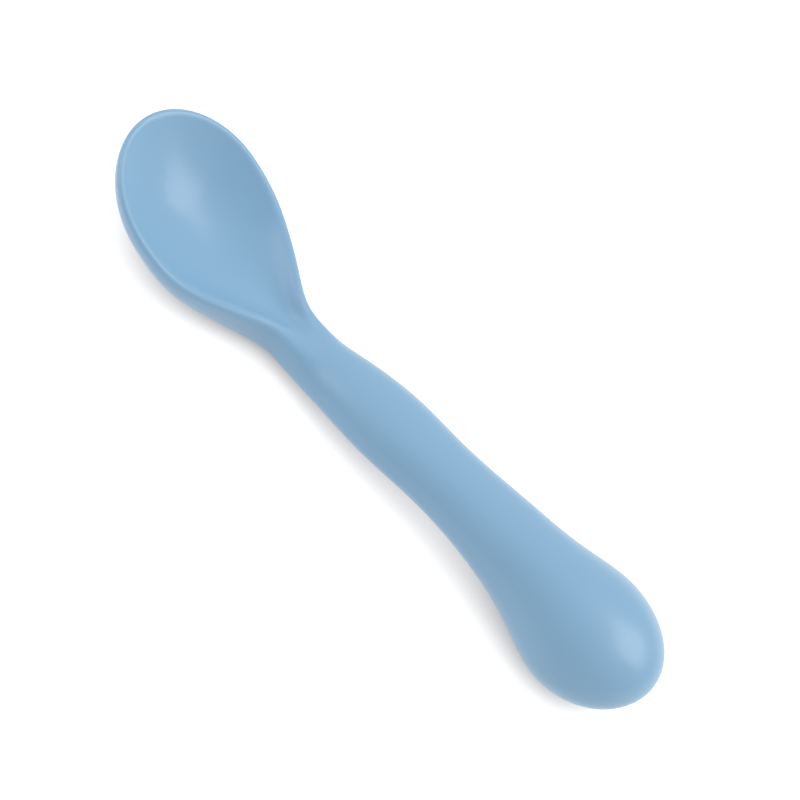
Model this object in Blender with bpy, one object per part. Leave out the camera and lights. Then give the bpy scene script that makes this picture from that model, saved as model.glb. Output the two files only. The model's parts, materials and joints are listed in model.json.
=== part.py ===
"""Baby feeding spoon: a soft silicone skin moulded round a stiff plastic core. Metres, +Z up.

The spoon lies on a table along X, bowl towards +X, and is the same on both sides of the XZ plane.
Its sections are set by their distance from the handle's end. A cubic curve through their half widths,
tops and undersides gives every section between them.
"""

import math

import bmesh
import bpy
import numpy as np

MM = 0.001

# Distances from each section to the next, starting at the handle's end
END_TO_BULB = 16.0 * MM
BULB_TO_FLARE = 12.0 * MM
FLARE_TO_SHANK = 12.0 * MM
SHANK_TO_WAIST = 16.0 * MM
WAIST_TO_GRIP = 11.0 * MM
GRIP_TO_TAPER = 12.0 * MM
TAPER_TO_NECK = 11.0 * MM
NECK_TO_THROAT = 5.0 * MM
THROAT_TO_SHOULDER = 5.0 * MM
SHOULDER_TO_HEEL = 6.0 * MM
HEEL_TO_CHEEK = 7.0 * MM
CHEEK_TO_BELLY = 9.0 * MM
BELLY_TO_TIP = 18.0 * MM

# Half widths, seen from above
BULB_HALF_WIDTH = 13.2 * MM
FLARE_HALF_WIDTH = 10.35 * MM
SHANK_HALF_WIDTH = 8.5 * MM
WAIST_HALF_WIDTH = 7.5 * MM
GRIP_HALF_WIDTH = 7.9 * MM
TAPER_HALF_WIDTH = 6.9 * MM
NECK_HALF_WIDTH = 5.3 * MM
THROAT_HALF_WIDTH = 5.4 * MM
SHOULDER_HALF_WIDTH = 7.85 * MM
HEEL_HALF_WIDTH = 11.4 * MM
CHEEK_HALF_WIDTH = 14.7 * MM
BELLY_HALF_WIDTH = 15.9 * MM

# Heights of the top line above the table: the handle's back, then the bowl's rim
BULB_TOP = 21.0 * MM
SHANK_TOP = 18.6 * MM
WAIST_TOP = 16.5 * MM
TAPER_TOP = 13.0 * MM
NECK_TOP = 10.5 * MM
SHOULDER_TOP = 11.0 * MM
CHEEK_TOP = 12.0 * MM
BELLY_TOP = 14.3 * MM
TIP_TOP = 18.9 * MM

# Heights of the underside, before the tip rounds it up to the rim. Where it would pass below the
# table, the skin is cut flat
BULB_UNDERSIDE = -0.4 * MM
FLARE_UNDERSIDE = 1.9 * MM
SHANK_UNDERSIDE = 4.8 * MM
WAIST_UNDERSIDE = 4.8 * MM
TAPER_UNDERSIDE = 2.7 * MM
NECK_UNDERSIDE = 1.4 * MM
HEEL_UNDERSIDE = -0.4 * MM
BELLY_UNDERSIDE = 3.3 * MM
TIP_UNDERSIDE = 8.0 * MM

# Roundness: the handle's end sweeps up a little, the top flattens from the neck into a rim, and the
# underside of the neck and the bowl's heel is fuller than an ellipse, whose fullness is 1
END_LIFT = 1.3 * MM
RIM_LEAD = 6.0 * MM
RIM_HEIGHT = 1.0 * MM
SHOULDER_FLATNESS = 16.0
RIM_FLATNESS = 46.0
NECK_FULLNESS = 0.66
HEEL_FULLNESS = 0.86

# The bowl's hollow: the rim left beside it, how squarely it starts at the neck, and its depth below
# the rim along the middle, which is 0 at the neck. At the tip the lip rounds the depth off to 0
LIP_AT_BELLY = 1.1 * MM
LIP_AT_THROAT = 1.9 * MM
HOLLOW_BLUNTNESS = 6.0
THROAT_DEPTH = 1.1 * MM
SHOULDER_DEPTH = 2.2 * MM
HEEL_DEPTH = 3.4 * MM
CHEEK_DEPTH = 5.0 * MM
BELLY_DEPTH = 6.2 * MM
TIP_DEPTH = 6.0 * MM

# The plastic core, and how the silicone is locked to it
CORE_THICKNESS = 4.4 * MM
CORE_SIDE_WALL = 2.2 * MM
CORE_TAIL_INSET = 6.0 * MM
CORE_TAIL_ROUND = 8.0 * MM
CORE_TONGUE_REACH = 13.0 * MM
CORE_TONGUE_ROUND = 5.0 * MM
CORE_SQUARENESS = 4.0
CORE_END_SQUARENESS = 6.0
LOCK_HOLE_RADIUS = 2.2 * MM
PEG_RADIUS = 1.5 * MM
PEG_RECESS = 0.3 * MM
CLEARANCE = 0.3 * MM

# Mesh density
RING_POINTS = 40
CORE_RING_POINTS = 24
ROUND_SIDES = 20
CAP_RINGS = 12
RING_STEP = 3.0 * MM
CORE_RING_STEP = 4.0 * MM
SHARP_ANGLE = math.radians(40)
OVERSHOOT = 3.0 * MM

# Finishes
SILICONE_BLUE = (0.240, 0.435, 0.630, 1.0)
SILICONE_ROUGHNESS = 0.3
NYLON_WHITE = (0.80, 0.79, 0.76, 1.0)
NYLON_ROUGHNESS = 0.5

# Places of the sections, measured from the handle's end
BULB = END_TO_BULB
FLARE = BULB + BULB_TO_FLARE
SHANK = FLARE + FLARE_TO_SHANK
WAIST = SHANK + SHANK_TO_WAIST
GRIP = WAIST + WAIST_TO_GRIP
TAPER = GRIP + GRIP_TO_TAPER
NECK = TAPER + TAPER_TO_NECK
THROAT = NECK + NECK_TO_THROAT
SHOULDER = THROAT + THROAT_TO_SHOULDER
HEEL = SHOULDER + SHOULDER_TO_HEEL
CHEEK = HEEL + HEEL_TO_CHEEK
BELLY = CHEEK + CHEEK_TO_BELLY
TIP = BELLY + BELLY_TO_TIP
HOLLOW_FRONT = TIP - LIP_AT_BELLY

PLAN = (
    (BULB, BULB_HALF_WIDTH),
    (FLARE, FLARE_HALF_WIDTH),
    (SHANK, SHANK_HALF_WIDTH),
    (WAIST, WAIST_HALF_WIDTH),
    (GRIP, GRIP_HALF_WIDTH),
    (TAPER, TAPER_HALF_WIDTH),
    (NECK, NECK_HALF_WIDTH),
    (THROAT, THROAT_HALF_WIDTH),
    (SHOULDER, SHOULDER_HALF_WIDTH),
    (HEEL, HEEL_HALF_WIDTH),
    (CHEEK, CHEEK_HALF_WIDTH),
    (BELLY, BELLY_HALF_WIDTH),
)
TOP = (
    (BULB, BULB_TOP),
    (SHANK, SHANK_TOP),
    (WAIST, WAIST_TOP),
    (TAPER, TAPER_TOP),
    (NECK, NECK_TOP),
    (SHOULDER, SHOULDER_TOP),
    (CHEEK, CHEEK_TOP),
    (BELLY, BELLY_TOP),
    (TIP, TIP_TOP),
)
UNDERSIDE = (
    (BULB, BULB_UNDERSIDE),
    (FLARE, FLARE_UNDERSIDE),
    (SHANK, SHANK_UNDERSIDE),
    (WAIST, WAIST_UNDERSIDE),
    (TAPER, TAPER_UNDERSIDE),
    (NECK, NECK_UNDERSIDE),
    (HEEL, HEEL_UNDERSIDE),
    (BELLY, BELLY_UNDERSIDE),
    (TIP, TIP_UNDERSIDE),
)
FULLNESS = ((TAPER, 1.0), (NECK, NECK_FULLNESS), (HEEL, HEEL_FULLNESS), (BELLY, 1.0))
DEPTH = (
    (NECK, 0.0),
    (THROAT, THROAT_DEPTH),
    (SHOULDER, SHOULDER_DEPTH),
    (HEEL, HEEL_DEPTH),
    (CHEEK, CHEEK_DEPTH),
    (BELLY, BELLY_DEPTH),
    (TIP, TIP_DEPTH),
)

LOCK_HOLES = (FLARE, GRIP)
PEGS = (SHANK, TAPER)


def smooth_step(start, end, at):
    """0 before start, 1 after end, level at both."""
    part = np.clip((at - start) / (end - start), 0.0, 1.0)
    return part * part * (3.0 - 2.0 * part)


def smooth_curve(knots, at, level_end):
    """A cubic curve through the knots, level at its first one and, if level_end, at its last one.

    Past its ends it keeps its end values. Otherwise it leaves the last knot with no bend.
    """
    places, values = np.array(knots).T
    count = len(places)
    gaps = np.diff(places)
    rises = np.diff(values) / gaps
    system = np.zeros((count, count))
    right = np.zeros(count)
    system[0, 0] = 1.0
    system[-1, -1] = 1.0
    if not level_end:
        system[-1, -2:] = (0.5, 1.0)
        right[-1] = 1.5 * rises[-1]
    for k in range(1, count - 1):
        system[k, k - 1 : k + 2] = (gaps[k], 2.0 * (gaps[k - 1] + gaps[k]), gaps[k - 1])
        right[k] = 3.0 * (gaps[k] * rises[k - 1] + gaps[k - 1] * rises[k])
    slopes = np.linalg.solve(system, right)

    at = np.clip(at, places[0], places[-1])
    k = np.clip(np.searchsorted(places, at, side="right") - 1, 0, count - 2)
    part = (at - places[k]) / gaps[k]
    rest = 1.0 - part
    return (
        values[k] * rest * rest * (1.0 + 2.0 * part)
        + values[k + 1] * part * part * (1.0 + 2.0 * rest)
        + gaps[k] * part * rest * (slopes[k] * rest - slopes[k + 1] * part)
    )


def half_width(at):
    """Half the spoon's width, before the two ends round it off."""
    return smooth_curve(PLAN, at, level_end=True)


def end_rounding(at):
    """The share of the half width that the elliptic ends leave: 1 between bulb and belly, 0 at the ends."""
    to_end = np.clip((BULB - at) / BULB, 0.0, 1.0)
    to_tip = np.clip((at - BELLY) / (TIP - BELLY), 0.0, 1.0)
    return np.sqrt(1.0 - to_end**2) * np.sqrt(1.0 - to_tip**2)


def top_line(at):
    return smooth_curve(TOP, at, level_end=False)


def underside_line(at):
    return smooth_curve(UNDERSIDE, at, level_end=False)


def outer_heights(at, across):
    """Upper and lower height of the skin, where across runs from -1 to 1 over the section's width.

    Handle sections are ellipses about the middle height. From the neck on, the widest line climbs to
    the rim, and the upper half flattens into it, more sharply the nearer it is to the belly.
    """
    rim = smooth_step(NECK - RIM_LEAD, HEEL, at)
    top = top_line(at)
    underside = underside_line(at)
    middle = (top + underside) / 2.0 * (1.0 - rim) + (top - RIM_HEIGHT) * rim
    lift = END_LIFT * np.clip((BULB - at) / BULB, 0.0, 1.0) ** 2

    rounding = end_rounding(at)
    inside = rounding**2 * (1.0 - across**2)
    sharper = (RIM_FLATNESS - SHOULDER_FLATNESS) * smooth_step(HEEL, BELLY, at)
    flatness = 2.0 + SHOULDER_FLATNESS * rim + sharper
    crown = np.sqrt(1.0 - (1.0 - inside) ** (flatness / 2.0))
    belly = inside ** (np.interp(at, *np.array(FULLNESS).T) / 2.0)
    upper = middle + lift + (top - middle) * crown
    lower = middle + lift - (middle - underside) * belly
    return upper, lower


def hollow_lip(at):
    """Width of the rim beside the bowl's hollow. It widens from the belly back to the throat."""
    return LIP_AT_BELLY + (LIP_AT_THROAT - LIP_AT_BELLY) * (1.0 - smooth_step(THROAT, BELLY, at))


def hollow_depth(at):
    """Depth of the hollow below the rim, along the spoon's middle. It runs out at the neck and the tip."""
    to_front = np.clip((at - BELLY) / (HOLLOW_FRONT - BELLY), 0.0, 1.0)
    return smooth_curve(DEPTH, at, level_end=False) * (1.0 - to_front**2)


def hollow_rings():
    """Sections of the hollow: a lower half dished as a parabola, and an upper half that clears the rim."""
    turn = np.linspace(0.0, math.pi / 2.0, CAP_RINGS + 1)[1:]
    back = BELLY - (BELLY - NECK) * np.cos(turn)
    front = BELLY + (HOLLOW_FRONT - BELLY) * np.sin(turn[:-1])
    at = np.concatenate([back, front])[:, None]
    to_start = np.clip((BELLY - at) / (BELLY - NECK), 0.0, 1.0)
    to_front = np.clip((at - BELLY) / (HOLLOW_FRONT - BELLY), 0.0, 1.0)
    rounding = np.sqrt(1.0 - to_start**HOLLOW_BLUNTNESS) * np.sqrt(1.0 - to_front**2)
    reach = (half_width(at) - hollow_lip(at)) * rounding

    angle = np.linspace(0.0, 2.0 * math.pi, RING_POINTS, endpoint=False)[None, :]
    side = reach * np.cos(angle)
    rise = np.sin(angle)
    dish = -hollow_depth(at) * rise**2
    height = top_line(at) + np.where(rise > 0.0, OVERSHOOT * rounding * rise, dish)
    return np.stack([at + 0.0 * side, side, height], axis=-1)


def skin_rings():
    """Sections of the skin, from the handle's end to the tip, as an array of rings of points."""
    turn = np.linspace(0.0, math.pi / 2.0, CAP_RINGS + 1)[1:]
    count = round((BELLY - BULB) / RING_STEP)
    handle_end = BULB * (1.0 - np.cos(turn))
    middle = np.linspace(BULB, BELLY, count + 1)[1:]
    tip = BELLY + (TIP - BELLY) * np.sin(turn[:-1])
    at = np.concatenate([handle_end, middle, tip])[:, None]

    angle = np.linspace(0.0, 2.0 * math.pi, RING_POINTS, endpoint=False)[None, :]
    across = np.cos(angle)
    upper, lower = outer_heights(at, across)
    height = np.where(np.sin(angle) > 0.0, upper, lower)
    side = half_width(at) * end_rounding(at) * across
    return np.stack([at + 0.0 * side, side, height], axis=-1)


def core_middle(at):
    """The core lies midway between the skin's underside and its upper side."""
    upper = top_line(at) - hollow_depth(at)
    return (np.maximum(underside_line(at), 0.0) + upper) / 2.0


def core_rings(growth):
    """Sections of the core, grown on all sides, and where it starts and ends.

    It keeps its distance from the handle's sides, and its tongue is as wide as it is in the neck.
    """
    tail = CORE_TAIL_INSET - growth
    tongue = NECK + CORE_TONGUE_REACH + growth
    turn = np.linspace(0.0, math.pi / 2.0, CAP_RINGS + 1)[1:]
    first = tail + CORE_TAIL_ROUND * (1.0 - np.cos(turn))
    last = tongue - CORE_TONGUE_ROUND * (1.0 - np.cos(turn[::-1]))
    count = round((last[0] - first[-1]) / CORE_RING_STEP)
    middle = np.linspace(first[-1], last[0], count + 1)[1:-1]
    at = np.concatenate([first, middle, last])[:, None]

    to_tail = np.clip((tail + CORE_TAIL_ROUND - at) / CORE_TAIL_ROUND, 0.0, 1.0)
    to_tongue = np.clip((at - tongue + CORE_TONGUE_ROUND) / CORE_TONGUE_ROUND, 0.0, 1.0)
    ends = np.maximum(to_tail, to_tongue)
    handle = half_width(np.minimum(at, NECK)) * end_rounding(at)
    wide = (handle - CORE_SIDE_WALL + growth) * np.sqrt(1.0 - ends**2)
    thick = (CORE_THICKNESS / 2.0 + growth) * np.sqrt(1.0 - ends**CORE_END_SQUARENESS)

    angle = np.linspace(0.0, 2.0 * math.pi, CORE_RING_POINTS, endpoint=False)[None, :]
    corner = 2.0 / CORE_SQUARENESS
    side = wide * np.sign(np.cos(angle)) * np.abs(np.cos(angle)) ** corner
    height = core_middle(at) + thick * np.sign(np.sin(angle)) * np.abs(np.sin(angle)) ** corner
    return np.stack([at + 0.0 * side, side, height], axis=-1), tail, tongue


def loft(name, rings, start, end):
    """A closed mesh through the rings, drawn to a point at each end."""
    mesh = bpy.data.meshes.new(name)
    shape = bmesh.new()
    loops = []
    for ring in rings:
        loops.append([shape.verts.new(point) for point in ring])
    size = len(loops[0])
    for first, second in zip(loops, loops[1:]):
        for i in range(size):
            j = (i + 1) % size
            shape.faces.new((first[i], first[j], second[j], second[i]))
    for point, ring in ((start, loops[0]), (end, loops[-1])):
        pole = shape.verts.new(point)
        for i in range(size):
            shape.faces.new((pole, ring[i], ring[(i + 1) % size]))
    bmesh.ops.recalc_face_normals(shape, faces=shape.faces)
    shape.to_mesh(mesh)
    shape.free()
    return mesh


def skin_mesh():
    end_height = (BULB_TOP + BULB_UNDERSIDE) / 2.0 + END_LIFT
    start = (0.0, 0.0, end_height)
    end = (TIP, 0.0, TIP_TOP - RIM_HEIGHT)
    return loft("silicone_spoon_skin", skin_rings(), start, end)


def hollow_mesh():
    start = (NECK, 0.0, NECK_TOP)
    end = (HOLLOW_FRONT, 0.0, float(top_line(np.array([HOLLOW_FRONT]))[0]))
    return loft("bowl_hollow", hollow_rings(), start, end)


def core_mesh(name, growth):
    rings, tail, tongue = core_rings(growth)
    start = (tail, 0.0, core_middle(np.array([tail]))[0])
    end = (tongue, 0.0, core_middle(np.array([tongue]))[0])
    return loft(name, rings, start, end)


def add_object(name, mesh, collection, spoon):
    piece = bpy.data.objects.new(name, mesh)
    piece.parent = spoon
    collection.objects.link(piece)
    return piece


def add_cutter(name, mesh, collection, spoon):
    cutter = add_object(name, mesh, collection, spoon)
    cutter.hide_render = True
    cutter.display_type = "WIRE"
    return cutter


def add_post(name, at, low, high, radius, collection, spoon):
    """An upright round post from low to high, used to cut a hole or to add a peg."""
    mesh = bpy.data.meshes.new(name)
    shape = bmesh.new()
    bmesh.ops.create_cone(
        shape, cap_ends=True, segments=ROUND_SIDES, radius1=radius, radius2=radius, depth=high - low
    )
    shape.to_mesh(mesh)
    shape.free()
    post = add_cutter(name, mesh, collection, spoon)
    post.location = (at, 0.0, (low + high) / 2.0)
    return post


def add_table_cut(collection, spoon):
    """A block whose top is the table, wide enough for the whole spoon."""
    mesh = bpy.data.meshes.new("table_cut")
    shape = bmesh.new()
    bmesh.ops.create_cube(shape, size=1.0)
    wide = 2.0 * (BELLY_HALF_WIDTH + BULB_HALF_WIDTH)
    bmesh.ops.scale(shape, vec=(TIP + 2.0 * OVERSHOOT, wide, OVERSHOOT), verts=shape.verts)
    shape.to_mesh(mesh)
    shape.free()
    block = add_cutter("table_cut", mesh, collection, spoon)
    block.location = (TIP / 2.0, 0.0, -OVERSHOOT / 2.0)
    return block


def combine(piece, other, operation):
    boolean = piece.modifiers.new(other.name, "BOOLEAN")
    boolean.operation = operation
    boolean.object = other
    boolean.solver = "EXACT"


def add_material(piece, name, colour, roughness):
    material = bpy.data.materials.new(name)
    material.use_nodes = True
    surface = material.node_tree.nodes["Principled BSDF"]
    surface.inputs["Base Color"].default_value = colour
    surface.inputs["Roughness"].default_value = roughness
    surface.inputs["Metallic"].default_value = 0.0
    piece.data.materials.append(material)


def add_core(parts, cutters, spoon):
    """The flat plastic bar: locking holes through it, pegs under it that reach the skin's underside."""
    core = add_object("stiffening_core", core_mesh("stiffening_core", 0.0), parts, spoon)
    for number, at in enumerate(LOCK_HOLES, 1):
        middle = float(core_middle(np.array([at]))[0])
        reach = CORE_THICKNESS / 2.0 + OVERSHOOT
        name = f"lock_hole_{number}"
        hole = add_post(name, at, middle - reach, middle + reach, LOCK_HOLE_RADIUS, cutters, spoon)
        combine(core, hole, "DIFFERENCE")
    for number, at in enumerate(PEGS, 1):
        middle = float(core_middle(np.array([at]))[0])
        low = float(underside_line(np.array([at]))[0]) + PEG_RECESS
        peg = add_post(f"peg_{number}", at, low, middle, PEG_RADIUS, cutters, spoon)
        combine(core, peg, "UNION")
    add_material(core, "white_nylon", NYLON_WHITE, NYLON_ROUGHNESS)
    return core


def add_cavity(cutters, spoon):
    """The space for the core, crossed by the silicone posts that lock it, with a bore for each peg."""
    cavity = add_cutter("core_cavity", core_mesh("core_cavity", CLEARANCE), cutters, spoon)
    for number, at in enumerate(LOCK_HOLES, 1):
        middle = float(core_middle(np.array([at]))[0])
        reach = CORE_THICKNESS / 2.0 + OVERSHOOT
        radius = LOCK_HOLE_RADIUS - CLEARANCE
        name = f"lock_post_{number}"
        post = add_post(name, at, middle - reach, middle + reach, radius, cutters, spoon)
        combine(cavity, post, "DIFFERENCE")
    for number, at in enumerate(PEGS, 1):
        middle = float(core_middle(np.array([at]))[0])
        low = float(underside_line(np.array([at]))[0]) - OVERSHOOT
        radius = PEG_RADIUS + CLEARANCE
        bore = add_post(f"peg_bore_{number}", at, low, middle, radius, cutters, spoon)
        combine(cavity, bore, "UNION")
    return cavity


def add_skin(parts, cutters, spoon):
    """The whole outside of the spoon: cut flat at the table, dished in the bowl, hollow round the core."""
    skin = add_object("silicone_spoon_skin", skin_mesh(), parts, spoon)
    combine(skin, add_table_cut(cutters, spoon), "DIFFERENCE")
    combine(skin, add_cutter("bowl_hollow", hollow_mesh(), cutters, spoon), "DIFFERENCE")
    combine(skin, add_cavity(cutters, spoon), "DIFFERENCE")
    add_material(skin, "blue_silicone", SILICONE_BLUE, SILICONE_ROUGHNESS)
    return skin


def settle(piece):
    """Makes the cuts part of the mesh, so that round faces shade smooth and the cut edges stay sharp."""
    graph = bpy.context.evaluated_depsgraph_get()
    mesh = bpy.data.meshes.new_from_object(piece.evaluated_get(graph))
    mesh.name = piece.name
    mesh.shade_smooth()
    mesh.set_sharp_from_angle(angle=SHARP_ANGLE)
    piece.modifiers.clear()
    piece.data = mesh


def main():
    for old in list(bpy.data.objects):
        bpy.data.objects.remove(old, do_unlink=True)
    parts = bpy.data.collections.new("baby_feeding_spoon")
    cutters = bpy.data.collections.new("spoon_cutters")
    for collection in (parts, cutters):
        bpy.context.scene.collection.children.link(collection)

    spoon = bpy.data.objects.new("spoon_middle", None)
    spoon.location.x = -TIP / 2.0
    parts.objects.link(spoon)
    for piece in (add_skin(parts, cutters, spoon), add_core(parts, cutters, spoon)):
        settle(piece)


main()
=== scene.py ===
# %% [markdown]
# # A soft silicone feeding spoon
#
# The spoon on the table is one pale blue silicone moulding. A stiff nylon core hides inside it, and
# only the ends of its two pegs show, under the handle. This lesson gives both pieces their finish. Each
# step says what the piece or finish is on the real spoon, how it could be made, and why it is made so.
#
# Lengths are in millimetres until a mesh is made, because a spoon is easier to think about that way.
# X runs from the handle's end to the bowl's tip, Y across the spoon, and Z up.

# %% Load the frame
import json
import math

import bpy
import numpy as np
from mathutils import Matrix, Vector
from mathutils.bvhtree import BVHTree

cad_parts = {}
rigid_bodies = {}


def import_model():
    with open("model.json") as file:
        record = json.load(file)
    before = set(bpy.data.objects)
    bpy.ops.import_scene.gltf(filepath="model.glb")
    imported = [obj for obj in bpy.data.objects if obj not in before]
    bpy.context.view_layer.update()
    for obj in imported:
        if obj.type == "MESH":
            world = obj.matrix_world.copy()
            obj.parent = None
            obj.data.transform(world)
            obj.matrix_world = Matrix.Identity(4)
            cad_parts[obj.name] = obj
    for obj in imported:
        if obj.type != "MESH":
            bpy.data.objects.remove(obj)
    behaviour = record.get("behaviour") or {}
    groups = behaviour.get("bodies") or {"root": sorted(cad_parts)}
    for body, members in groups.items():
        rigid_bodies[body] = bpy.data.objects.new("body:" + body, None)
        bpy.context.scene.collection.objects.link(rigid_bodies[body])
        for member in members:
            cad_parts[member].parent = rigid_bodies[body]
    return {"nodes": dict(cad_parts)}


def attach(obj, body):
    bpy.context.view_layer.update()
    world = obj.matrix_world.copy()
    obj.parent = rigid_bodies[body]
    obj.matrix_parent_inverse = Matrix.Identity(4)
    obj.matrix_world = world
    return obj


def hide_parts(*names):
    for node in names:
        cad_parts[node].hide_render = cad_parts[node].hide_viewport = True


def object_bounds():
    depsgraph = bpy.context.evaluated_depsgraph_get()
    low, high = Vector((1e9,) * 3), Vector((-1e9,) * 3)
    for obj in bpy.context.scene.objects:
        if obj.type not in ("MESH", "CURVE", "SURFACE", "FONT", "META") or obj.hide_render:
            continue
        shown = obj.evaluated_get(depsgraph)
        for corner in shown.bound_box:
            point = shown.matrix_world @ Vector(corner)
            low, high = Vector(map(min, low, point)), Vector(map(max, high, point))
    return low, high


for leftover in list(bpy.data.objects):
    bpy.data.objects.remove(leftover, do_unlink=True)
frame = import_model()
cad_low, cad_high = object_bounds()
MM = 0.001
SPOON_LENGTH = (cad_high.x - cad_low.x) / MM
SPOON_HEIGHT = (cad_high.z - cad_low.z) / MM
print("nodes:", sorted(frame["nodes"]))
print(f"the spoon is {SPOON_LENGTH:.1f} mm long and {SPOON_HEIGHT:.1f} mm high")

# %% [markdown]
# ## The camera
#
# The picture looks down on the spoon from its near side, and the spoon lies across the frame's
# diagonal, so the camera is rolled as well as raised. A Track To constraint can't roll a camera. Its
# three axes are worked out instead, and put into a matrix. A long lens far away keeps the two ends in
# proportion.

# %% Camera
VIEW_AZIMUTH = math.radians(183.1)
VIEW_ELEVATION = math.radians(56.0)
VIEW_ROLL = math.radians(44.4)
VIEW_DISTANCE = 700.0
VIEW_WIDTH = 147.3
AIM_HEIGHT = 10.0
AIM_RIGHT = 2.9
AIM_UP = 3.2


def camera_axes():
    """Right, up and back of the camera: turned about Z, raised, then rolled about the line of sight."""
    level = math.cos(VIEW_ELEVATION)
    height = math.sin(VIEW_ELEVATION)
    back = Vector((math.sin(VIEW_AZIMUTH) * level, -math.cos(VIEW_AZIMUTH) * level, height))
    right = Vector((math.cos(VIEW_AZIMUTH), math.sin(VIEW_AZIMUTH), 0.0))
    up = back.cross(right)
    rolled_right = right * math.cos(VIEW_ROLL) + up * math.sin(VIEW_ROLL)
    return rolled_right, back.cross(rolled_right), back


def add_camera():
    """The camera stands back from a point beside the spoon's middle, so that the whole spoon shows."""
    right, up, back = camera_axes()
    place = Vector((0.0, 0.0, AIM_HEIGHT)) + right * AIM_RIGHT + up * AIM_UP + back * VIEW_DISTANCE
    data = bpy.data.cameras.new("camera")
    data.lens = data.sensor_width * VIEW_DISTANCE / VIEW_WIDTH
    camera = bpy.data.objects.new("camera", data)
    turn = Matrix((right, up, back)).transposed().to_4x4()
    camera.matrix_world = Matrix.Translation(place * MM) @ turn
    bpy.context.scene.collection.objects.link(camera)
    bpy.context.scene.camera = camera
    print(f"camera lens {data.lens:.0f} mm")


add_camera()

# %% [markdown]
# ## The spoon's sections
#
# A spoon like this is drawn as sections: at each place along it, how wide it is, how high its back or
# rim stands, and how far its underside clears the table. A long list of points could hold the whole
# form, but it would explain nothing. Here each place has a name, and a short table holds each kind of
# size. The last table says how blunt the belly's sections are: below 1 they are fuller than an ellipse.

# %% Sections
BULB = 16.0
FLARE = 28.0
SHANK = 40.0
WAIST = 56.0
GRIP = 67.0
TAPER = 79.0
NECK = 90.0
THROAT = 95.0
SHOULDER = 100.0
HEEL = 106.0
CHEEK = 113.0
BELLY = 122.0
TIP = SPOON_LENGTH

HALF_WIDTHS = (
    (BULB, 13.2),
    (FLARE, 10.35),
    (SHANK, 8.5),
    (WAIST, 7.5),
    (GRIP, 7.9),
    (TAPER, 6.9),
    (NECK, 5.3),
    (THROAT, 5.4),
    (SHOULDER, 7.85),
    (HEEL, 11.4),
    (CHEEK, 14.7),
    (BELLY, 15.9),
)
TOPS = (
    (BULB, SPOON_HEIGHT),
    (SHANK, 18.6),
    (WAIST, 16.5),
    (TAPER, 13.0),
    (NECK, 10.5),
    (SHOULDER, 11.0),
    (CHEEK, 12.0),
    (BELLY, 14.3),
    (TIP, 18.9),
)
UNDERSIDES = (
    (BULB, -0.4),
    (FLARE, 1.9),
    (SHANK, 4.8),
    (WAIST, 4.8),
    (TAPER, 2.7),
    (NECK, 1.4),
    (HEEL, -0.4),
    (BELLY, 3.3),
    (TIP, 8.0),
)
FULLNESS = ((TAPER, 1.0), (NECK, 0.66), (HEEL, 0.86), (BELLY, 1.0))
print(f"{len(HALF_WIDTHS)} half widths, {len(TOPS)} tops and {len(UNDERSIDES)} undersides")

# %% [markdown]
# ## A curve through the sizes
#
# Between its sections the real moulding runs on without a kink. Subdividing a coarse cage would give
# soft shapes too, but it pulls away from the sizes. A cubic curve passes through them exactly.

# %% Curves
MEASURE_POINTS = 300


def smooth_step(start, end, at):
    """0 before start, 1 after end, and 3t^2 - 2t^3 between them."""
    part = np.clip((at - start) / (end - start), 0.0, 1.0)
    return part * part * (3.0 - 2.0 * part)


def smooth_curve(knots, at, level_end=False):
    """A cubic through the knots whose slope and bend never jump.

    It starts level. It ends level too, or else straight. Past its ends it keeps its end values.
    """
    places, values = np.array(knots).T
    count = len(places)
    gaps = np.diff(places)
    rises = np.diff(values) / gaps
    system = np.eye(count)
    wanted = np.zeros(count)
    inner = np.arange(1, count - 1)
    system[inner, inner - 1] = gaps[1:]
    system[inner, inner] = 2.0 * (gaps[:-1] + gaps[1:])
    system[inner, inner + 1] = gaps[:-1]
    wanted[inner] = 3.0 * (gaps[1:] * rises[:-1] + gaps[:-1] * rises[1:])
    if not level_end:
        system[-1, -2:] = (0.5, 1.0)
        wanted[-1] = 1.5 * rises[-1]
    slopes = np.linalg.solve(system, wanted)
    at = np.clip(at, places[0], places[-1])
    k = np.clip(np.searchsorted(places, at, side="right") - 1, 0, count - 2)
    part = (at - places[k]) / gaps[k]
    rest = 1.0 - part
    ends = values[k] * rest**2 * (1.0 + 2.0 * part) + values[k + 1] * part**2 * (1.0 + 2.0 * rest)
    return ends + gaps[k] * part * rest * (slopes[k] * rest - slopes[k + 1] * part)


widest = smooth_curve(HALF_WIDTHS, np.linspace(0.0, TIP, MEASURE_POINTS), level_end=True).max()
print(f"the sections reach {2.0 * widest:.1f} mm across")

# %% [markdown]
# ## The skin's outside
#
# The real skin comes out of a polished mould in one piece: fat round handle end, slim neck, thin rolled
# rim and dished bowl. It could be sculpted, or joined from a handle and a bowl. Here it is one surface
# of two parameters: one runs along the spoon, the other across it. First comes its outside, as if the
# bowl had no dish. From the neck on, a rim with a nearly flat top takes over from the round handle.

# %% Outside
END_LIFT = 1.3
RIM_LEAD = 6.0
RIM_HEIGHT = 1.0
SHOULDER_FLATNESS = 16.0
RIM_FLATNESS = 46.0


def half_width(at):
    """Half the spoon's width before its ends are rounded: the curve through the half widths."""
    return smooth_curve(HALF_WIDTHS, at, level_end=True)


def end_rounding(at):
    """The share of the width that is left: a quarter ellipse at the handle's end and one at the tip."""
    to_end = np.clip((BULB - at) / BULB, 0.0, 1.0)
    to_tip = np.clip((at - BELLY) / (TIP - BELLY), 0.0, 1.0)
    return np.sqrt(1.0 - to_end**2) * np.sqrt(1.0 - to_tip**2)


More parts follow.
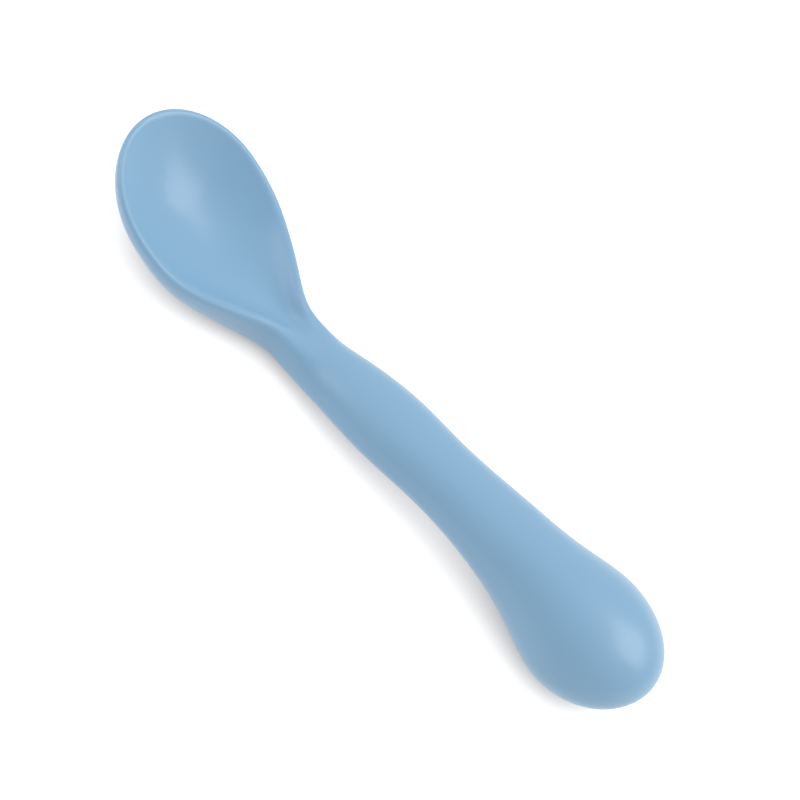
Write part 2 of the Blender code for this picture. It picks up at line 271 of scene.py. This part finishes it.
def crown_and_belly(at, across):
    """Heights of the undished top and of the underside, for across from -1 to 1 over the width.

    Handle sections are ellipses. From the neck on, the widest line climbs to the rim, and the top turns
    from an ellipse into a nearly flat one of a higher power. The belly is an ellipse, a little fuller
    under the neck and the heel.
    """
    rim = smooth_step(NECK - RIM_LEAD, HEEL, at)
    sharper = (RIM_FLATNESS - SHOULDER_FLATNESS) * smooth_step(HEEL, BELLY, at)
    flatness = SHOULDER_FLATNESS * rim + sharper
    fullness = np.interp(at, *np.array(FULLNESS).T)
    top = smooth_curve(TOPS, at)
    underside = smooth_curve(UNDERSIDES, at)
    middle = (top + underside) / 2.0 * (1.0 - rim) + (top - RIM_HEIGHT) * rim
    lift = END_LIFT * np.clip((BULB - at) / BULB, 0.0, 1.0) ** 2
    inside = end_rounding(at) ** 2 * (1.0 - across**2)
    crown = middle + lift + (top - middle) * np.sqrt(1.0 - (1.0 - inside) ** (1.0 + flatness / 2.0))
    belly = middle + lift - (middle - underside) * inside ** (fullness / 2.0)
    return crown, belly


bulb_crown, bulb_belly = crown_and_belly(BULB, 0.0)
print(f"the handle's end is {bulb_crown - bulb_belly:.1f} mm thick before it is cut flat")

# %% [markdown]
# ## The dish
#
# The dish holds the food. It is deepest where the bowl is widest, and runs out in a V towards the neck.
# It could be cut out with a Boolean, but then the rim's inner edge would be sharp. Here it is a second
# surface of the same two parameters: a round hollow, stretched to the outline that the rim leaves.

# %% Dish
LIP_AT_BELLY = 1.1
LIP_AT_THROAT = 1.9
DISH_FULLNESS = 2.0
DISH_START = NECK
DISH_FRONT = TIP - LIP_AT_BELLY
START_BLUNTNESS = 6.0
START_LIMIT = 0.9999
DISH_DEPTHS = (
    (DISH_START, 0.0),
    (THROAT, 1.7),
    (SHOULDER, 2.9),
    (HEEL, 3.7),
    (CHEEK, 5.0),
    (BELLY, 6.2),
    (TIP, 6.0),
)


def throat_to_belly(at, throat, belly):
    """A size that changes smoothly from its value at the throat to its value at the belly."""
    return throat + (belly - throat) * smooth_step(THROAT, BELLY, at)


def dish_reach(at):
    """Half width of the dish: the bowl's, less the rim. It narrows to a blunt point at the throat."""
    lip = throat_to_belly(at, LIP_AT_THROAT, LIP_AT_BELLY)
    to_start = np.clip((BELLY - at) / (BELLY - DISH_START), 0.0, START_LIMIT)
    return (half_width(at) - lip) * np.sqrt(1.0 - to_start**START_BLUNTNESS)


def dish_height(at, side):
    """The rim's height less depth * (1 - r^fullness), where r is 0 in the middle and 1 at the lip."""
    to_front = np.maximum(at - BELLY, 0.0) / (DISH_FRONT - BELLY)
    from_middle = np.sqrt((side / dish_reach(at)) ** 2 + to_front**2)
    depth = smooth_curve(DISH_DEPTHS, at)
    return smooth_curve(TOPS, at) - depth * (1.0 - from_middle**DISH_FULLNESS)


belly_depth = smooth_curve(TOPS, BELLY) - dish_height(BELLY, 0.0)
print(f"the dish is {2.0 * dish_reach(BELLY):.1f} mm wide and {belly_depth:.1f} mm deep")

# %% [markdown]
# ## The outside and the dish in one
#
# The skin's upper side is the lower of the two surfaces, the outside's top and the dish. Where they
# cross, at the rim's inner edge, real silicone has a small round. A Bevel modifier rounds an edge of a
# mesh, but this edge is only the crossing of two formulas. So the formula that picks the lower surface
# rounds it. The underside becomes flat in the same way where it meets the table.

# %% Skin heights
TABLE_SOFTNESS = 0.2
ROUNDING_AT_BELLY = 0.5
ROUNDING_AT_THROAT = 1.0
LEAST_ROUNDING = 0.001


def soft_min(one, other, rounding):
    """The lower of two heights. Where they differ by less than the rounding, it falls a little lower.

    The fall is (rounding - difference)^2 / (4 * rounding), which makes the corner a smooth one.
    """
    near = np.maximum(rounding - np.abs(one - other), 0.0)
    return np.minimum(one, other) - near**2 / (4.0 * rounding)


def skin_heights(at, across):
    """Upper and lower height of the finished skin. The underside is flat where it meets the table."""
    crown, belly = crown_and_belly(at, across)
    side = half_width(at) * end_rounding(at) * across
    rounding = throat_to_belly(at, ROUNDING_AT_THROAT, ROUNDING_AT_BELLY)
    depth = smooth_curve(DISH_DEPTHS, at)
    upper = soft_min(crown, dish_height(at, side), np.clip(depth, LEAST_ROUNDING, rounding))
    lower = -soft_min(-belly, 0.0 * belly, TABLE_SOFTNESS)
    return upper, lower


middle_upper, middle_lower = skin_heights(np.linspace(DISH_START, DISH_FRONT, MEASURE_POINTS), 0.0)
print(f"the thinnest place along the dish's middle is {np.min(middle_upper - middle_lower):.2f} mm")

# %% [markdown]
# ## The skin's grid
#
# Where grid lines cross a narrow rim at a slant, the rim looks jagged however fine the grid is. So the
# lines follow the rim: a fixed number of columns lie on it, and the rest share the dish between them.
# Rows are closest in the bowl and at the two ends, where the surface turns fastest.

# %% Skin grid
RIM_COLUMNS = 16
DISH_COLUMNS = 72
BELLY_COLUMNS = 84
END_ROWS = 48
HANDLE_ROW_STEP = 0.8
BOWL_ROW_STEP = 0.24
TIP_ROWS = 140
LEAST_DISH_SHARE = 0.25
HANDLE_DISH_SHARE = 0.7
EDGE_CROWDING = 0.7


def skin_rows():
    """Places of the rows: equal turns round both ends, even steps along the handle and the bowl."""
    turn_end = np.linspace(0.0, math.pi / 2.0, END_ROWS + 1)[1:]
    turn_tip = np.linspace(0.0, math.pi / 2.0, TIP_ROWS + 1)[:-1]
    handle_count = round((NECK - RIM_LEAD - BULB) / HANDLE_ROW_STEP)
    bowl_count = round((BELLY - NECK + RIM_LEAD) / BOWL_ROW_STEP)
    return np.concatenate(
        [
            BULB * (1.0 - np.cos(turn_end)),
            np.linspace(BULB, NECK - RIM_LEAD, handle_count + 1)[1:],
            np.linspace(NECK - RIM_LEAD, BELLY, bowl_count + 1)[1:-1],
            BELLY + (TIP - BELLY) * np.sin(turn_tip),
        ]
    )


def upper_columns(at):
    """Across-values of the upper half, from 1 to -1.

    Over each rim they are cosines of equal turns. In the dish between, they crowd towards the rims.
    """
    to_front = np.clip((at - BELLY) / (DISH_FRONT - BELLY), 0.0, 1.0)
    reach = dish_reach(at) * np.sqrt(1.0 - to_front**2)
    narrowing = (HANDLE_DISH_SHARE - LEAST_DISH_SHARE) * smooth_step(TAPER, DISH_START, at)
    dish_share = reach / (half_width(at) * end_rounding(at)) * (at > DISH_START)
    share = np.maximum(dish_share, HANDLE_DISH_SHARE - narrowing)
    rim = np.cos(np.arccos(share) * np.linspace(0.0, 1.0, RIM_COLUMNS + 1)[:-1])
    part = np.linspace(0.0, 1.0, DISH_COLUMNS + 1)
    dish = share * (EDGE_CROWDING * np.cos(math.pi * part) + (1.0 - EDGE_CROWDING) * (1.0 - 2.0 * part))
    return np.concatenate([rim, dish, -rim[:, ::-1]], axis=1)


def skin_grid():
    """Points of the skin, a row for each section: over the top from side to side, then back below."""
    at = skin_rows()[:, None]
    over = upper_columns(at)
    under = -np.cos(np.linspace(0.0, math.pi, BELLY_COLUMNS + 1)[1:-1])[None, :] + 0.0 * at
    upper = skin_heights(at, over)[0]
    lower = skin_heights(at, under)[1]
    across = np.concatenate([over, under], axis=1)
    side = half_width(at) * end_rounding(at) * across
    height = np.concatenate([upper, lower], axis=1)
    return np.stack([at + 0.0 * side, side, height], axis=-1)


grid = skin_grid()
print(f"grid: {grid.shape[0]} rows of {grid.shape[1]} points")

# %% [markdown]
# ## The skin's mesh
#
# The grid is a tube that closes round each row and is open at its two ends. Flat caps would close it,
# but both ends of the spoon are round, so each end row is drawn together in one point, a pole. The mesh
# stands for the solid skin, which is hidden: it rides on the same body.

# %% Skin mesh
def closed_mesh(name, rows, first_pole, last_pole):
    """A mesh of the rows, closed round each row and drawn together in a pole at each end.

    Points are in millimetres from the handle's end. The mesh is in metres from the spoon's middle.
    """
    count, size = rows.shape[:2]
    points = np.concatenate([rows.reshape(-1, 3), [first_pole, last_pole]])
    points = (points - (TIP / 2.0, 0.0, 0.0)) * MM
    here = np.arange(count * size).reshape(count, size)
    beside = np.roll(here, -1, axis=1)
    quads = np.stack([here[:-1], here[1:], beside[1:], beside[:-1]], axis=-1).reshape(-1, 4)
    first = np.stack([here[0], beside[0], np.full(size, count * size)], axis=-1)
    last = np.stack([beside[-1], here[-1], np.full(size, count * size + 1)], axis=-1)
    mesh = bpy.data.meshes.new(name)
    mesh.from_pydata(points.tolist(), [], quads.tolist() + first.tolist() + last.tolist())
    mesh.validate()
    mesh.shade_smooth()
    return mesh


end_height = (TOPS[0][1] + UNDERSIDES[0][1]) / 2.0 + END_LIFT
tip_height = TOPS[-1][1] - RIM_HEIGHT
skin_mesh = closed_mesh("silicone_skin", grid, (0.0, 0.0, end_height), (TIP, 0.0, tip_height))
skin = bpy.data.objects.new("silicone_skin", skin_mesh)
bpy.context.scene.collection.objects.link(skin)
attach(skin, "root")
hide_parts("silicone_spoon_skin")
print(f"skin: {len(skin_mesh.vertices)} points, {len(skin_mesh.polygons)} faces")

# %% [markdown]
# ## How well the fine skin fits the solid
#
# The solid model carries the sizes, so the fine skin has to lie on it. Two pictures could be laid over
# each other, but a number is surer. A BVH tree finds, for every point of the solid's outside, the
# nearest point of the fine skin. The solid is hollow for the core, and the fine skin isn't, because
# nobody sees in there: points over a millimetre away are the hollow's.

# %% Fit
OUTSIDE_LIMIT = 1.0


def measure_fit():
    """Measures how far the solid's outer points lie from the fine skin."""
    tree = BVHTree.FromPolygons(
        [v.co for v in skin.data.vertices], [p.vertices for p in skin.data.polygons]
    )
    solid = frame["nodes"]["silicone_spoon_skin"].data
    gaps = np.array([tree.find_nearest(v.co)[3] for v in solid.vertices]) / MM
    outside = gaps[gaps < OUTSIDE_LIMIT]
    print(f"{len(outside)} of {len(gaps)} points of the solid are outside ones")
    print(f"the fine skin lies {outside.mean():.3f} mm from them on average")


measure_fit()

# %% [markdown]
# ## The bores for the core's pegs
#
# Two pegs hold the core in the mould while the silicone flows round it. They leave two round bores
# under the handle, with the peg's end a little way up each. The grid could be bent round the bores, but
# a Boolean with two cylinders is simpler, and it is applied at once so that the mesh stays plain.

# %% Peg bores
PEG_PLACES = (SHANK, TAPER)
BORE_RADIUS = 1.8
BORE_START = -1.0
BORE_REACH = 3.0
BORE_SIDES = 48


def bore_mesh(at):
    """An upright cylinder from below the table into the handle, centred on the spoon's middle line.

    Its corners are half a step off that line, where a cut through the skin's own points leaves slivers.
    """
    low = BORE_START
    high = float(smooth_curve(UNDERSIDES, at)) + BORE_REACH
    turn = (np.arange(BORE_SIDES) + 0.5) * 2.0 * math.pi / BORE_SIDES
    circle = np.stack([at + BORE_RADIUS * np.cos(turn), BORE_RADIUS * np.sin(turn)], axis=-1)
    rows = np.stack([np.insert(circle, 2, high, axis=1), np.insert(circle, 2, low, axis=1)])
    return closed_mesh("bore", rows, (at, 0.0, high), (at, 0.0, low))


def cut_bores():
    """Cuts a bore for each peg out of the skin."""
    before = len(skin.data.polygons)
    cutters = []
    for at in PEG_PLACES:
        cutter = bpy.data.objects.new("bore", bore_mesh(at))
        bpy.context.scene.collection.objects.link(cutter)
        cut = skin.modifiers.new("bore", "BOOLEAN")
        cut.object = cutter
        cut.solver = "EXACT"
        cutters.append(cutter)
    shaped = skin.evaluated_get(bpy.context.evaluated_depsgraph_get())
    finished = bpy.data.meshes.new_from_object(shaped)
    skin.modifiers.clear()
    skin.data = finished
    for cutter in cutters:
        bpy.data.objects.remove(cutter)
    print(f"bores: {before} faces before, {len(finished.polygons)} after")


cut_bores()

# %% [markdown]
# ## One unevenness for both mouldings
#
# No moulding is quite even. Its colour and shine drift a little from place to place, and the mould's
# finish leaves a grain too fine to see by itself. A painted texture would blur up close. This node
# group works both out from Object coordinates. It is built once, and each material gives it its own
# scales.

# %% Moulding group
DRIFT_DETAIL = 2.0
GRAIN_DETAIL = 1.0
NOISE_ROUGHNESS = 0.5


def new_node(tree, kind, place, **values):
    """Adds a node at a place in the tree and sets its named inputs."""
    node = tree.nodes.new(kind)
    node.location = place
    for name, value in values.items():
        node.inputs[name.replace("_", " ")].default_value = value
    return node


def moulding_group():
    """Puts out a slow drift and a fine grain, each about 0.5 on average."""
    group = bpy.data.node_groups.new("moulding_unevenness", "ShaderNodeTree")
    group.interface.new_socket("Vector", in_out="INPUT", socket_type="NodeSocketVector")
    group.interface.new_socket("Drift Scale", in_out="INPUT", socket_type="NodeSocketFloat")
    group.interface.new_socket("Grain Scale", in_out="INPUT", socket_type="NodeSocketFloat")
    group.interface.new_socket("Drift", in_out="OUTPUT", socket_type="NodeSocketFloat")
    group.interface.new_socket("Grain", in_out="OUTPUT", socket_type="NodeSocketFloat")
    given = new_node(group, "NodeGroupInput", (-400, 0))
    result = new_node(group, "NodeGroupOutput", (200, 0))
    for name, height, detail in (("Drift", 150, DRIFT_DETAIL), ("Grain", -150, GRAIN_DETAIL)):
        noise = new_node(group, "ShaderNodeTexNoise", (-150, height), Detail=detail)
        noise.inputs["Roughness"].default_value = NOISE_ROUGHNESS
        group.links.new(given.outputs["Vector"], noise.inputs["Vector"])
        group.links.new(given.outputs[f"{name} Scale"], noise.inputs["Scale"])
        group.links.new(noise.outputs["Fac"], result.inputs[name])
    return group


UNEVENNESS = moulding_group()
print("moulding group sockets:", [item.name for item in UNEVENNESS.interface.items_tree])

# %% [markdown]
# ## Silicone and nylon
#
# The silicone is a pale blue with a satin shine: soft to the touch, but moulded in polished steel, so
# it shows lamps as soft patches. The core is unpainted nylon, nearly white and duller. Light that
# scatters under the surface could be added, but this silicone is too cloudy to show it. Each is one
# Principled shader. The group's drift moves the colour and the roughness by a few per cent, and its
# grain is a very low bump.

# %% Materials
SILICONE_LIGHT = (0.241, 0.434, 0.626, 1.0)
SILICONE_DARK = (0.235, 0.426, 0.616, 1.0)
SILICONE_ROUGHNESS = (0.29, 0.33)
SILICONE_DRIFT_SIZE = 14.0
SILICONE_GRAIN_SIZE = 0.3
SILICONE_GRAIN_HEIGHT = 0.004
NYLON_LIGHT = (0.82, 0.81, 0.78, 1.0)
NYLON_DARK = (0.77, 0.76, 0.72, 1.0)
NYLON_ROUGHNESS = (0.44, 0.56)
NYLON_DRIFT_SIZE = 6.0
NYLON_GRAIN_SIZE = 0.4
NYLON_GRAIN_HEIGHT = 0.01


def moulded_material(name, light, dark, roughness, drift_size, grain_size, grain_height):
    """A Principled material whose colour and roughness drift. Sizes are in millimetres."""
    material = bpy.data.materials.new(name)
    material.use_nodes = True
    tree = material.node_tree
    shader = tree.nodes["Principled BSDF"]
    place = new_node(tree, "ShaderNodeTexCoord", (-900, 0))
    uneven = new_node(tree, "ShaderNodeGroup", (-700, 0))
    uneven.node_tree = UNEVENNESS
    uneven.inputs["Drift Scale"].default_value = 1.0 / (drift_size * MM)
    uneven.inputs["Grain Scale"].default_value = 1.0 / (grain_size * MM)
    tint = new_node(tree, "ShaderNodeMix", (-400, 200))
    tint.data_type = "RGBA"
    tint.inputs["A"].default_value = dark
    tint.inputs["B"].default_value = light
    shine = new_node(tree, "ShaderNodeMapRange", (-400, -50), To_Min=roughness[0], To_Max=roughness[1])
    bump = new_node(tree, "ShaderNodeBump", (-400, -300), Strength=1.0, Distance=grain_height * MM)
    tree.links.new(place.outputs["Object"], uneven.inputs["Vector"])
    tree.links.new(uneven.outputs["Drift"], tint.inputs["Factor"])
    tree.links.new(uneven.outputs["Drift"], shine.inputs["Value"])
    tree.links.new(uneven.outputs["Grain"], bump.inputs["Height"])
    tree.links.new(tint.outputs["Result"], shader.inputs["Base Color"])
    tree.links.new(shine.outputs["Result"], shader.inputs["Roughness"])
    tree.links.new(bump.outputs["Normal"], shader.inputs["Normal"])
    return material


silicone = moulded_material(
    "blue_silicone",
    SILICONE_LIGHT,
    SILICONE_DARK,
    SILICONE_ROUGHNESS,
    SILICONE_DRIFT_SIZE,
    SILICONE_GRAIN_SIZE,
    SILICONE_GRAIN_HEIGHT,
)
nylon = moulded_material(
    "white_nylon",
    NYLON_LIGHT,
    NYLON_DARK,
    NYLON_ROUGHNESS,
    NYLON_DRIFT_SIZE,
    NYLON_GRAIN_SIZE,
    NYLON_GRAIN_HEIGHT,
)
skin.data.materials.clear()
skin.data.materials.append(silicone)
core = frame["nodes"]["stiffening_core"]
core.data.materials.clear()
core.data.materials.append(nylon)
print("materials:", silicone.name, "on", skin.name, "and", nylon.name, "on", core.name)

# %% [markdown]
# ## The floor
#
# The spoon was photographed on white. A floor that is only lit never quite reaches white, and more
# lamps would bleach the spoon. So the floor is pale paper that lights the spoon from below, and a Light
# Path node shows the camera, and whatever mirrors the floor, a glowing sheet instead. An Ambient
# Occlusion node tells how open the space above each point of the floor is, and the glow dims where the
# spoon closes nearly half of it or more. That gives the narrow grey shadow of the photo. The floor lies
# a hair below the table's height, so that it shares no plane with the spoon's flats.

# %% Floor
FLOOR_SIZE = 20.0
FLOOR_COLOUR = (0.9, 0.9, 0.9, 1.0)
SEEN_COLOUR = (0.25, 0.25, 0.25, 1.0)
FLOOR_GLOW = 1.0
FLOOR_DROP = 0.05
CONTACT_REACH = 22.0
CONTACT_EDGE = 0.57


def floor_material():
    """Plain paper for the light. Camera, glossy and transmission rays see darker lit paper, and a glow
    that dims into a painted shadow under the spoon.
    """
    material = bpy.data.materials.new("studio_paper")
    material.use_nodes = True
    tree = material.node_tree
    tree.nodes.remove(tree.nodes["Principled BSDF"])
    paper = new_node(tree, "ShaderNodeBsdfDiffuse", (-150, 250), Color=FLOOR_COLOUR)
    seen_paper = new_node(tree, "ShaderNodeBsdfDiffuse", (-350, 50), Color=SEEN_COLOUR)
    # The Ambient Occlusion dims the glow where the spoon hides the floor. That is a painted shadow,
    # added to the lamps' real shadow on the darker paper.
    near = new_node(tree, "ShaderNodeAmbientOcclusion", (-750, -150), Distance=CONTACT_REACH * MM)
    level = new_node(tree, "ShaderNodeMapRange", (-550, -150), From_Max=CONTACT_EDGE, To_Max=FLOOR_GLOW)
    glow = new_node(tree, "ShaderNodeEmission", (-350, -150))
    sheet = new_node(tree, "ShaderNodeAddShader", (-150, 0))
    choice = new_node(tree, "ShaderNodeMixShader", (100, 200))
    rays = new_node(tree, "ShaderNodeLightPath", (-700, 450))
    seen = rays.outputs["Is Camera Ray"]
    for step, kind in enumerate(("Is Glossy Ray", "Is Transmission Ray")):
        either = new_node(tree, "ShaderNodeMath", (-500 + 170 * step, 450))
        either.operation = "MAXIMUM"
        tree.links.new(seen, either.inputs[0])
        tree.links.new(rays.outputs[kind], either.inputs[1])
        seen = either.outputs["Value"]
    tree.links.new(near.outputs["AO"], level.inputs["Value"])
    tree.links.new(level.outputs["Result"], glow.inputs["Strength"])
    tree.links.new(seen_paper.outputs["BSDF"], sheet.inputs[0])
    tree.links.new(glow.outputs["Emission"], sheet.inputs[1])
    tree.links.new(seen, choice.inputs["Fac"])
    tree.links.new(paper.outputs["BSDF"], choice.inputs[1])
    tree.links.new(sheet.outputs["Shader"], choice.inputs[2])
    tree.links.new(choice.outputs["Shader"], tree.nodes["Material Output"].inputs["Surface"])
    return material


def add_floor():
    """A large square under the spoon. It belongs to the studio, not to the spoon."""
    half = FLOOR_SIZE / 2.0
    height = -FLOOR_DROP * MM
    outline = ((-half, -half), (half, -half), (half, half), (-half, half))
    corners = [(x, y, height) for x, y in outline]
    mesh = bpy.data.meshes.new("studio_floor")
    mesh.from_pydata(corners, [], [(0, 1, 2, 3)])
    mesh.materials.append(floor_material())
    floor = bpy.data.objects.new("studio_floor", mesh)
    bpy.context.scene.collection.objects.link(floor)


add_floor()
print(f"floor {FLOOR_SIZE:.0f} m wide, dimmed where less than {CONTACT_EDGE:.0%} of the space is open")

# %% [markdown]
# ## The lamps
#
# The patch on the handle's end is the picture of one large soft box, high up beyond that end. A weak
# second lamp, low beyond the bowl's tip, lightens the rim and the shade inside the bowl. Point lamps
# would be simpler, but a satin surface shows them as hard dots. Both are square area lamps here, turned
# towards the spoon.

# %% Lamps
SOFTBOX_AZIMUTH = -142.0
SOFTBOX_ELEVATION = 50.0
SOFTBOX_DISTANCE = 2.0
SOFTBOX_SIZE = 1.375
SOFTBOX_POWER = 18.8
FILL_AZIMUTH = 20.0
FILL_ELEVATION = 35.0
FILL_DISTANCE = 0.8
FILL_SIZE = 0.5
FILL_POWER = 1.6


def direction(azimuth, elevation):
    """A unit vector from the spoon. Azimuth turns from +X towards +Y, elevation is above the table."""
    turn = math.radians(azimuth)
    level = math.cos(math.radians(elevation))
    return Vector((math.cos(turn) * level, math.sin(turn) * level, math.sin(math.radians(elevation))))


def add_lamp(name, azimuth, elevation, distance, size, power):
    """A square area lamp that faces the spoon's middle."""
    data = bpy.data.lights.new(name, "AREA")
    data.energy = power
    data.size = size
    lamp = bpy.data.objects.new(name, data)
    towards = direction(azimuth, elevation)
    lamp.location = towards * distance
    lamp.rotation_euler = towards.to_track_quat("Z", "Y").to_euler()
    bpy.context.scene.collection.objects.link(lamp)


add_lamp("softbox", SOFTBOX_AZIMUTH, SOFTBOX_ELEVATION, SOFTBOX_DISTANCE, SOFTBOX_SIZE, SOFTBOX_POWER)
add_lamp("fill", FILL_AZIMUTH, FILL_ELEVATION, FILL_DISTANCE, FILL_SIZE, FILL_POWER)
print(f"soft box {SOFTBOX_POWER} W, fill {FILL_POWER} W")

# %% [markdown]
# ## The light tent
#
# The rest of the light is very even, as in a small white tent, but darker towards the camera, where the
# tent is open. Lit white sheets could be modelled, but they would be slow and noisy. The world needs
# only a few nodes for it: a grey that fades darker round one direction.

# %% Tent
TENT_LIGHT = 0.71
OPENING_LIGHT = 0.25
OPENING_AZIMUTH = 87.0
OPENING_ELEVATION = 52.0
OPENING_WIDTH = 40.0
OPENING_DARKEST = 8.0


def add_tent():
    """World light that is even, but fades to the opening's level round the opening's direction."""
    world = bpy.data.worlds.new("light_tent")
    world.use_nodes = True
    tree = world.node_tree
    look = new_node(tree, "ShaderNodeTexCoord", (-700, 0))
    facing = new_node(tree, "ShaderNodeVectorMath", (-500, 0))
    facing.operation = "DOT_PRODUCT"
    facing.inputs[1].default_value = direction(OPENING_AZIMUTH, OPENING_ELEVATION)
    level = new_node(tree, "ShaderNodeMapRange", (-300, 0), To_Min=TENT_LIGHT, To_Max=OPENING_LIGHT)
    level.interpolation_type = "SMOOTHSTEP"
    level.inputs["From Min"].default_value = math.cos(math.radians(OPENING_WIDTH))
    level.inputs["From Max"].default_value = math.cos(math.radians(OPENING_DARKEST))
    tree.links.new(look.outputs["Generated"], facing.inputs[0])
    tree.links.new(facing.outputs["Value"], level.inputs["Value"])
    tree.links.new(level.outputs["Result"], tree.nodes["Background"].inputs["Strength"])
    tree.nodes["Background"].inputs["Color"].default_value = (1.0, 1.0, 1.0, 1.0)
    bpy.context.scene.world = world


add_tent()
print(f"tent {TENT_LIGHT}, opening {OPENING_LIGHT}")

# %% [markdown]
# ## Finish
#
# The Standard view transform shows colours as they are written.

# %% Finish
bpy.context.scene.view_settings.view_transform = "Standard"
